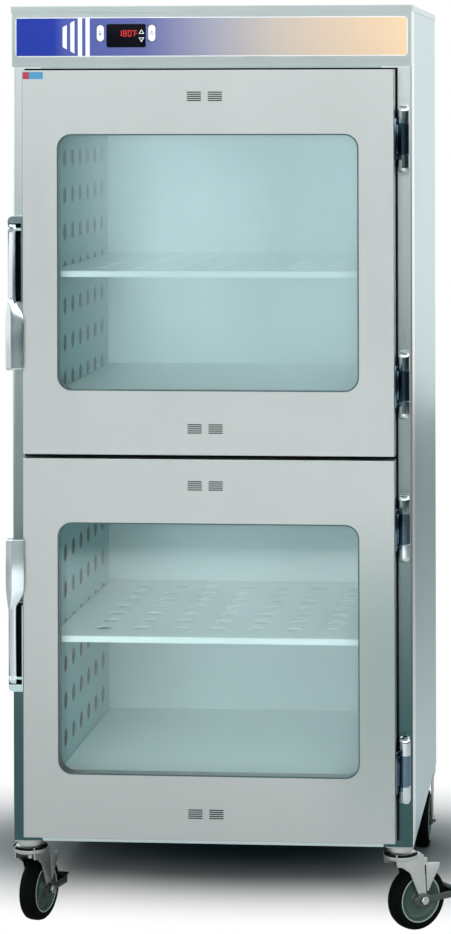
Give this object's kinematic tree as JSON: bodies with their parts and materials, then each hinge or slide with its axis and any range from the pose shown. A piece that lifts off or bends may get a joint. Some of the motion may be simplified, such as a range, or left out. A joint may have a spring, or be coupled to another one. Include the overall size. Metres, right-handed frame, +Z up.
{
  "type": "blanket warming cabinet",
  "caption": "Tall stainless warming cabinet on casters with glazed doors hinged on the right, edge latches, perforated racks and shelves, and a digital control panel across the top.",
  "frame": {"origin": "on the floor, below the middle of the carcass", "axes": "+X to the cabinet's right as seen from the front, +Y to the back, +Z up"},
  "size_m": [0.8992, 0.786, 1.857],
  "materials": {
    "stainless": "satin",
    "liner_steel": "satin",
    "chrome": "polished",
    "zinc": "satin",
    "glass": "gloss",
    "gasket": "matte",
    "overlay": "satin",
    "lens": "gloss",
    "key_black": "satin",
    "key_white": "satin",
    "tyre": "matte",
    "hub": "satin",
    "wool": "matte",
    "heater": "matte",
    "board": "satin",
    "electrics": "matte"
  },
  "bodies": {
    "cabinet": {"side_panel_left": "stainless", "side_panel_right": "stainless", "top_lid": "stainless", "header_panel": "stainless", "front_frame": "stainless", "base_pan": "stainless", "back_panel": "stainless", "upper_liner": "liner_steel", "lower_liner": "liner_steel", "upper_side_racks": "liner_steel", "lower_side_racks": "liner_steel", "upper_mid_shelf": "liner_steel", "upper_floor_shelf": "liner_steel", "lower_mid_shelf": "liner_steel", "lower_floor_shelf": "liner_steel", "insulation": "wool", "heater_strips": "heater", "temperature_probes": "liner_steel", "service_tray": "liner_steel", "transformer": "electrics", "terminals_and_limit_switch": "electrics", "power_inlet": "electrics", "control_overlay": "overlay", "display_lens": "lens", "control_board": "board", "hinge_frame_leaves": "chrome", "latch_strikes": "chrome", "front_caster_plates": "zinc", "rear_caster_forks": "zinc", "back_panel_screws": "zinc"},
    "key_up": {"key_up": "key_black"},
    "key_down": {"key_down": "key_black"},
    "key_lock": {"key_lock": "key_white"},
    "key_power": {"key_power": "key_white"},
    "upper_door": {"upper_door_pan": "stainless", "upper_door_liner": "stainless", "upper_door_glass": "glass", "upper_door_gasket": "gasket", "upper_hinge_door_leaves": "chrome", "upper_latch_case": "chrome"},
    "upper_lever": {"upper_latch_lever": "chrome"},
    "lower_door": {"lower_door_pan": "stainless", "lower_door_liner": "stainless", "lower_door_glass": "glass", "lower_door_gasket": "gasket", "lower_hinge_door_leaves": "chrome", "lower_latch_case": "chrome"},
    "lower_lever": {"lower_latch_lever": "chrome"},
    "front_left_swivel": {"front_left_fork": "zinc"},
    "front_left_brake": {"front_left_brake": "zinc"},
    "front_left_wheel": {"front_left_tyre": "tyre", "front_left_hub": "hub"},
    "rear_left_wheel": {"rear_left_tyre": "tyre", "rear_left_hub": "hub"},
    "front_right_swivel": {"front_right_fork": "zinc"},
    "front_right_brake": {"front_right_brake": "zinc"},
    "front_right_wheel": {"front_right_tyre": "tyre", "front_right_hub": "hub"},
    "rear_right_wheel": {"rear_right_tyre": "tyre", "rear_right_hub": "hub"}
  },
  "joints": [
    {"name": "upper_door_hinge", "type": "hinge", "parent": "cabinet", "child": "upper_door", "pos_m": [0.3887, -0.367, 1.3455], "axis": [0, 0, 1], "range_deg": [0, 170]},
    {"name": "lower_door_hinge", "type": "hinge", "parent": "cabinet", "child": "lower_door", "pos_m": [0.3887, -0.367, 0.57675], "axis": [0, 0, 1], "range_deg": [0, 170]},
    {"name": "upper_latch_pull", "type": "hinge", "parent": "upper_door", "child": "upper_lever", "pos_m": [-0.392, -0.3935, 1.411], "axis": [-1, 0, 0], "range_deg": [0, 30], "stiffness_Nm_per_rad": 1.5},
    {"name": "lower_latch_pull", "type": "hinge", "parent": "lower_door", "child": "lower_lever", "pos_m": [-0.392, -0.3935, 0.5155], "axis": [1, 0, 0], "range_deg": [0, 30], "stiffness_Nm_per_rad": 1.5},
    {"name": "key_up_press", "type": "slide", "parent": "cabinet", "child": "key_up", "axis": [0, 1, 0], "range_m": [0, 0.0008], "stiffness_N_per_m": 400},
    {"name": "key_down_press", "type": "slide", "parent": "cabinet", "child": "key_down", "axis": [0, 1, 0], "range_m": [0, 0.0008], "stiffness_N_per_m": 400},
    {"name": "key_lock_press", "type": "slide", "parent": "cabinet", "child": "key_lock", "axis": [0, 1, 0], "range_m": [0, 0.0008], "stiffness_N_per_m": 400},
    {"name": "key_power_press", "type": "slide", "parent": "cabinet", "child": "key_power", "axis": [0, 1, 0], "range_m": [0, 0.0008], "stiffness_N_per_m": 400},
    {"name": "front_left_swivel_turn", "type": "hinge", "parent": "cabinet", "child": "front_left_swivel", "pos_m": [-0.376, -0.313, 0.1585], "axis": [0, 0, 1], "continuous": true},
    {"name": "front_left_wheel_spin", "type": "hinge", "parent": "front_left_swivel", "child": "front_left_wheel", "pos_m": [-0.36616, -0.27629, 0.0635], "axis": [0.9659, -0.2588, 0], "continuous": true},
    {"name": "front_left_brake_press", "type": "hinge", "parent": "front_left_swivel", "child": "front_left_brake", "pos_m": [-0.36616, -0.27629, 0.0635], "axis": [-0.9659, 0.2588, 0], "range_deg": [0, 16]},
    {"name": "rear_left_wheel_spin", "type": "hinge", "parent": "cabinet", "child": "rear_left_wheel", "pos_m": [-0.376, 0.309, 0.0635], "axis": [1, 0, 0], "continuous": true},
    {"name": "front_right_swivel_turn", "type": "hinge", "parent": "cabinet", "child": "front_right_swivel", "pos_m": [0.376, -0.313, 0.1585], "axis": [0, 0, 1], "continuous": true},
    {"name": "front_right_wheel_spin", "type": "hinge", "parent": "front_right_swivel", "child": "front_right_wheel", "pos_m": [0.40511, -0.28857, 0.0635], "axis": [0.6428, -0.766, 0], "continuous": true},
    {"name": "front_right_brake_press", "type": "hinge", "parent": "front_right_swivel", "child": "front_right_brake", "pos_m": [0.40511, -0.28857, 0.0635], "axis": [-0.6428, 0.766, 0], "range_deg": [0, 16]},
    {"name": "rear_right_wheel_spin", "type": "hinge", "parent": "cabinet", "child": "rear_right_wheel", "pos_m": [0.376, 0.309, 0.0635], "axis": [1, 0, 0], "continuous": true}
  ]
}
